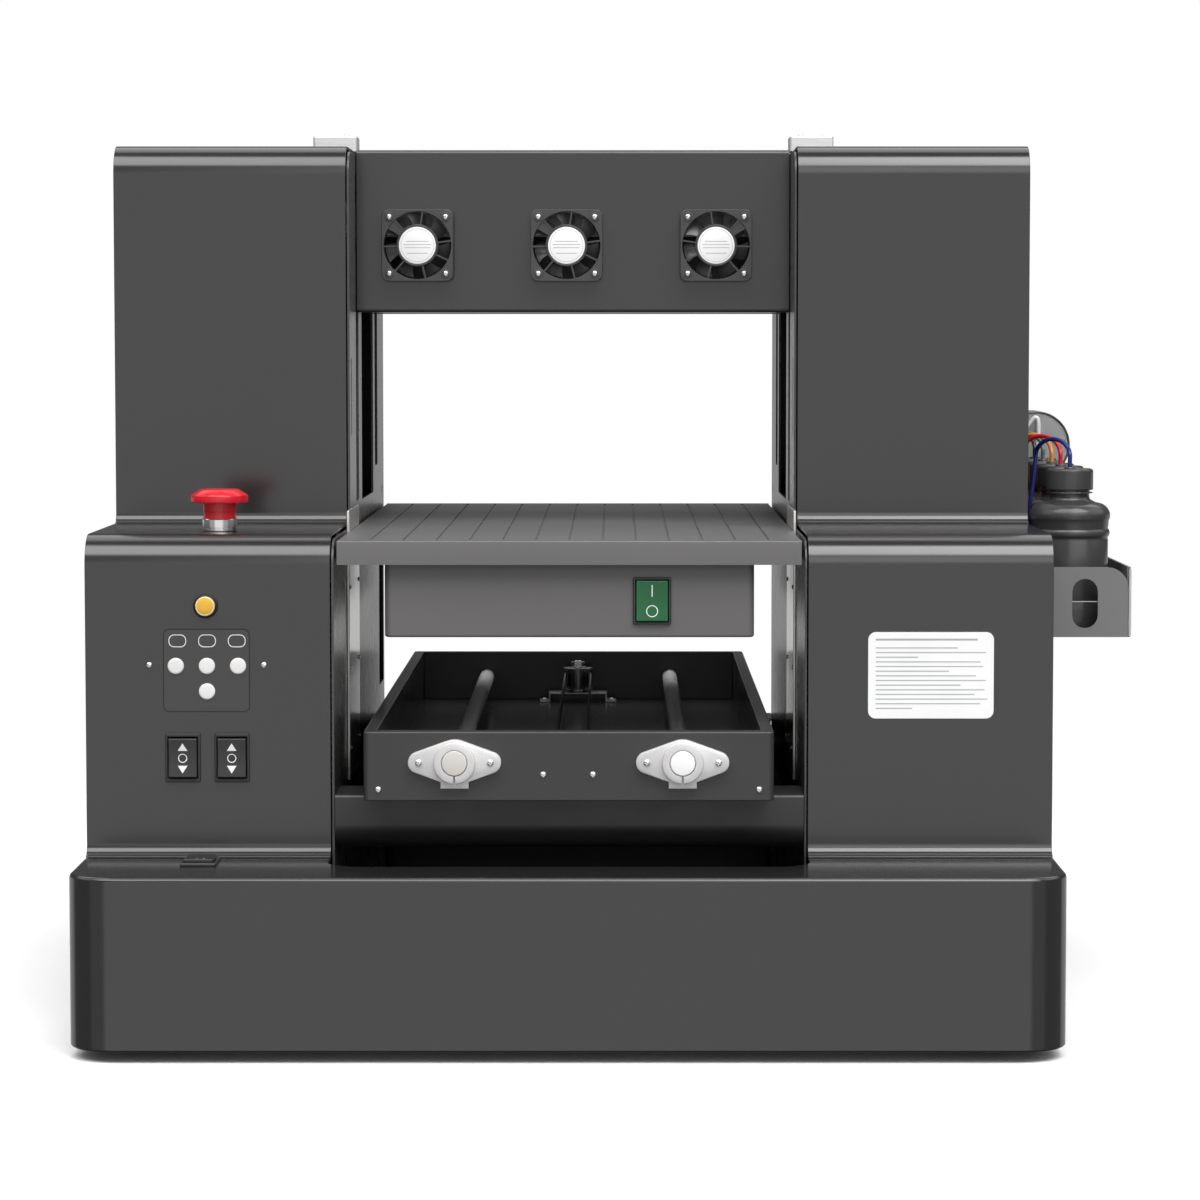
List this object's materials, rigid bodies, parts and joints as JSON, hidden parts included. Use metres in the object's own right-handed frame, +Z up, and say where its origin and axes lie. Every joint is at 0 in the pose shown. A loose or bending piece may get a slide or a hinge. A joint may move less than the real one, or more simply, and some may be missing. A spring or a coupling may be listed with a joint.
{
  "type": "flatbed uv printer",
  "caption": "Bench-top flatbed inkjet printer: black plinth, two stepped towers, lifting fan-cooled print beam, grooved sliding table over a belt tray, side ink bottles.",
  "frame": {"origin": "centre of the bounding box in plan, at the floor under the feet", "axes": "+Z up; +Y runs from the front of the machine to its rear, along the table's travel and the longest side; +X towards the ink bottles on the right"},
  "size_m": [0.7584, 0.771, 0.6505],
  "materials": {
    "black_cover": "satin powder coat",
    "base_black": "glossy powder coat",
    "wall_black": "matt powder coat",
    "rubber": "matt",
    "aluminium": "machined satin",
    "steel": "brushed",
    "table_grey": "satin grey coat",
    "box_grey": "satin grey coat",
    "tray_black": "glossy powder coat",
    "shelf_grey": "satin grey coat",
    "black_plastic": "moulded",
    "bottle_black": "blow moulded",
    "belt_black": "toothed rubber",
    "smoked_plastic": "translucent smoked",
    "tube_blue": "flexible tube",
    "red_plastic": "moulded",
    "yellow_plastic": "moulded",
    "white_plastic": "moulded",
    "green_plastic": "moulded"
  },
  "bodies": {
    "frame": {"base_shell": "base_black", "foot_front_left": "rubber", "foot_front_right": "rubber", "foot_back_left": "rubber", "foot_back_right": "rubber", "tower_cover_left": "black_cover", "tower_cover_right": "black_cover", "tower_wall_left": "wall_black", "tower_wall_right": "wall_black", "lift_cap_left": "aluminium", "lift_cap_right": "aluminium", "cross_cover_front": "black_cover", "cross_cover_back": "black_cover", "drive_tray": "tray_black", "guide_shaft_left": "steel", "guide_shaft_right": "steel", "shaft_support_left": "aluminium", "shaft_support_right": "aluminium", "idler_bracket": "steel", "drive_belt": "belt_black", "drive_motor": "black_plastic", "ink_shelf": "shelf_grey", "ink_bottle_1": "bottle_black", "ink_bottle_2": "bottle_black", "ink_bottle_3": "bottle_black", "ink_bottle_4": "bottle_black", "ink_bottle_5": "bottle_black", "ink_tubes": "tube_blue", "white_ink_mixer": "smoked_plastic", "stop_button_collar": "steel", "beam_rocker_frame": "black_plastic", "table_rocker_frame": "black_plastic", "base_rocker_frame": "black_plastic"},
    "beam": {"beam_cover": "black_cover", "cross_rail": "aluminium", "fan_frame_left": "black_plastic", "fan_frame_middle": "black_plastic", "fan_frame_right": "black_plastic"},
    "carriage": {"print_carriage": "black_plastic"},
    "fan_left": {"fan_rotor_left": "black_plastic"},
    "fan_middle": {"fan_rotor_middle": "black_plastic"},
    "fan_right": {"fan_rotor_right": "black_plastic"},
    "screw_left": {"lift_screw_left": "steel"},
    "screw_right": {"lift_screw_right": "steel"},
    "table_lift": {"lift_plate_left": "steel", "lift_plate_right": "steel"},
    "table": {"table_plate": "table_grey", "vacuum_box": "box_grey"},
    "power_switch": {"power_rocker": "green_plastic"},
    "idler": {"idler_pulley": "steel"},
    "drive": {"drive_pulley": "steel"},
    "stop_head": {"stop_button": "red_plastic"},
    "yellow_cap": {"yellow_button": "yellow_plastic"},
    "key_cap_1": {"key_1": "white_plastic"},
    "key_cap_2": {"key_2": "white_plastic"},
    "key_cap_3": {"key_3": "white_plastic"},
    "key_cap_4": {"key_4": "white_plastic"},
    "beam_switch": {"beam_rocker": "black_plastic"},
    "table_switch": {"table_rocker": "black_plastic"},
    "base_switch": {"base_rocker": "black_plastic"}
  },
  "joints": [
    {"name": "beam_lift", "type": "slide", "parent": "frame", "child": "beam", "axis": [0, 0, 1], "range_m": [-0.145, 0]},
    {"name": "carriage_travel", "type": "slide", "parent": "beam", "child": "carriage", "axis": [1, 0, 0], "range_m": [-0.39, 0]},
    {"name": "lift_screw_left_spin", "type": "hinge", "parent": "frame", "child": "screw_left", "pos_m": [-0.22175, 0.0285, 0.128], "axis": [0, 0, 1], "range_deg": [-5300, 10]},
    {"name": "lift_screw_right_spin", "type": "hinge", "parent": "frame", "child": "screw_right", "pos_m": [0.15025, 0.0285, 0.128], "axis": [0, 0, 1], "range_deg": [-5300, 10]},
    {"name": "table_lift", "type": "slide", "parent": "frame", "child": "table_lift", "axis": [0, 0, 1], "range_m": [-0.06, 0]},
    {"name": "table_travel", "type": "slide", "parent": "table_lift", "child": "table", "axis": [0, 1, 0], "range_m": [-0.28, 0.17]},
    {"name": "idler_pulley_spin", "type": "hinge", "parent": "frame", "child": "idler", "pos_m": [-0.03575, 0.3475, 0.1995], "axis": [0, 0, 1], "range_deg": [-1500, 920]},
    {"name": "drive_pulley_spin", "type": "hinge", "parent": "frame", "child": "drive", "pos_m": [-0.03575, -0.1965, 0.1995], "axis": [0, 0, 1], "range_deg": [-1500, 920]},
    {"name": "fan_left_spin", "type": "hinge", "parent": "beam", "child": "fan_left", "pos_m": [-0.15445, -0.0195, 0.565], "axis": [0, 1, 0], "continuous": true},
    {"name": "fan_middle_spin", "type": "hinge", "parent": "beam", "child": "fan_middle", "pos_m": [-0.04055, -0.0195, 0.565], "axis": [0, 1, 0], "continuous": true},
    {"name": "fan_right_spin", "type": "hinge", "parent": "beam", "child": "fan_right", "pos_m": [0.07365, -0.0195, 0.565], "axis": [0, 1, 0], "continuous": true},
    {"name": "power_rocker_tilt", "type": "hinge", "parent": "table", "child": "power_switch", "pos_m": [0.02285, -0.2645, 0.309], "axis": [1, 0, 0], "range_deg": [-8, 8]},
    {"name": "beam_rocker_tilt", "type": "hinge", "parent": "frame", "child": "beam_switch", "pos_m": [-0.30905, -0.2745, 0.1985], "axis": [1, 0, 0], "range_deg": [-8, 8]},
    {"name": "table_rocker_tilt", "type": "hinge", "parent": "frame", "child": "table_switch", "pos_m": [-0.27435, -0.2745, 0.1985], "axis": [1, 0, 0], "range_deg": [-8, 8]},
    {"name": "base_rocker_tilt", "type": "hinge", "parent": "frame", "child": "base_switch", "pos_m": [-0.29375, -0.31, 0.128], "axis": [1, 0, 0], "range_deg": [-8, 8]},
    {"name": "stop_button_press", "type": "slide", "parent": "frame", "child": "stop_head", "axis": [0, 0, -1], "range_m": [0, 0.005]},
    {"name": "yellow_button_press", "type": "slide", "parent": "frame", "child": "yellow_cap", "axis": [0, 1, 0], "range_m": [0, 0.003]},
    {"name": "key_1_press", "type": "slide", "parent": "frame", "child": "key_cap_1", "axis": [0, 1, 0], "range_m": [0, 0.001]},
    {"name": "key_2_press", "type": "slide", "parent": "frame", "child": "key_cap_2", "axis": [0, 1, 0], "range_m": [0, 0.001]},
    {"name": "key_3_press", "type": "slide", "parent": "frame", "child": "key_cap_3", "axis": [0, 1, 0], "range_m": [0, 0.001]},
    {"name": "key_4_press", "type": "slide", "parent": "frame", "child": "key_cap_4", "axis": [0, 1, 0], "range_m": [0, 0.001]}
  ],
  "couplings": [
    {"joint": "lift_screw_left_spin", "follows": "beam_lift", "rad_per_m": 628.32},
    {"joint": "lift_screw_right_spin", "follows": "beam_lift", "rad_per_m": 628.32},
    {"joint": "idler_pulley_spin", "follows": "table_travel", "rad_per_m": 90.909},
    {"joint": "drive_pulley_spin", "follows": "table_travel", "rad_per_m": 90.909}
  ]
}
